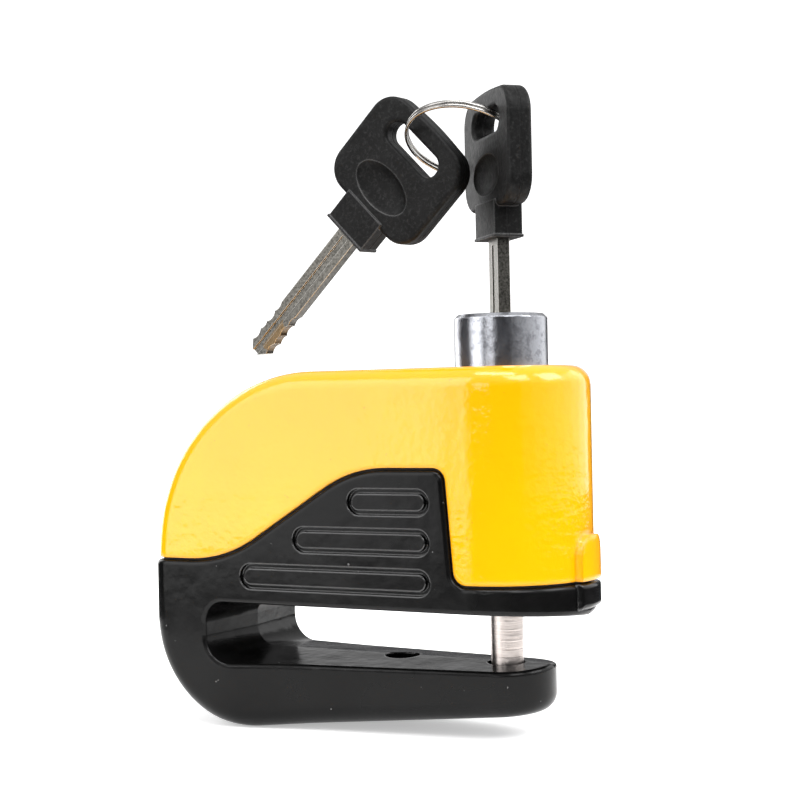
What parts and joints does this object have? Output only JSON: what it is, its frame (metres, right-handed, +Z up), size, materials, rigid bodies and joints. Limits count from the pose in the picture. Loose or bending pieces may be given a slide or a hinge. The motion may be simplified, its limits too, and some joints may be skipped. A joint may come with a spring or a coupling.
{
  "type": "motorcycle disc brake lock",
  "caption": "C-shaped alarm lock for a motorcycle brake disc, with a sliding keyed plunger and pin across the slot, and keys on a split ring.",
  "frame": {"origin": "centre of the object's footprint box, at its lowest point", "axes": "+Z up along the locking pin, +X from the closed end of the disc slot to its mouth, -Y the front face"},
  "size_m": [0.086, 0.033, 0.1195],
  "materials": {
    "black_paint": "glossy paint on a zinc casting",
    "yellow_paint": "glossy paint with a slight orange peel",
    "black_rubber": "matt rubber",
    "plain_steel": "zinc-plated",
    "spring_steel": "bright wire and strip",
    "black_plastic": "moulded",
    "board_green": "solder mask",
    "cell_steel": "bright nickel",
    "reed_glass": "clear glass",
    "chrome_plate": "polished with light scuffs",
    "pin_steel": "finely turned",
    "magnet_nickel": "nickel-plated",
    "core_brass": "machined",
    "key_plastic": "fine-grained moulding",
    "key_plate": "nickel-plated, brass at the cuts",
    "ring_steel": "bright wire"
  },
  "bodies": {
    "housing": {"chassis": "black_paint", "cover": "yellow_paint", "cover_gasket": "black_rubber", "plunger_seal": "black_rubber", "guide_screw": "plain_steel", "cover_screw": "plain_steel", "alarm_tray": "black_plastic", "circuit_board": "board_green", "buzzer": "black_plastic", "button_cells": "cell_steel", "battery_contacts": "spring_steel", "motion_sensor": "cell_steel", "reed_switch": "reed_glass", "board_screws": "plain_steel", "plunger_spring": "spring_steel"},
    "plunger": {"cylinder_barrel": "chrome_plate", "locking_pin": "pin_steel", "pin_retainer": "plain_steel", "core_dowel": "plain_steel", "arming_magnet": "magnet_nickel"},
    "bolt": {"latch_bolt": "plain_steel"},
    "core": {"lock_core": "core_brass", "core_wafers": "core_brass", "latch_cam": "plain_steel"},
    "key": {"key_head": "key_plastic", "key_blade": "key_plate"},
    "ring": {"key_ring": "ring_steel"},
    "spare_key": {"spare_key_head": "key_plastic", "spare_key_blade": "key_plate"}
  },
  "joints": [
    {"name": "plunger_slide", "type": "slide", "parent": "housing", "child": "plunger", "axis": [0, 0, 1], "range_m": [0, 0.0136], "deforming": ["plunger_spring"]},
    {"name": "core_turn", "type": "hinge", "parent": "plunger", "child": "core", "pos_m": [0.0255, 0, 0.07], "axis": [0, 0, 1], "range_deg": [-90, 0]},
    {"name": "bolt_slide", "type": "slide", "parent": "plunger", "child": "bolt", "axis": [1, 0, 0], "range_m": [0, 0.00211]},
    {"name": "key_slide", "type": "slide", "parent": "core", "child": "key", "axis": [0, 0, 1], "range_m": [-0.0095, 0.017]},
    {"name": "ring_swing", "type": "hinge", "parent": "key", "child": "ring", "pos_m": [0.02797, -0.00167, 0.1122], "axis": [-0.7071, -0.7071, 0], "range_deg": [-40, 0]},
    {"name": "spare_key_swing", "type": "hinge", "parent": "ring", "child": "spare_key", "pos_m": [0.00706, 0.00087, 0.11005], "axis": [0.079, -0.8705, 0.4857], "range_deg": [-25, 0]}
  ],
  "couplings": [
    {"joint": "bolt_slide", "follows": "core_turn", "m_per_rad": -0.0013369}
  ]
}
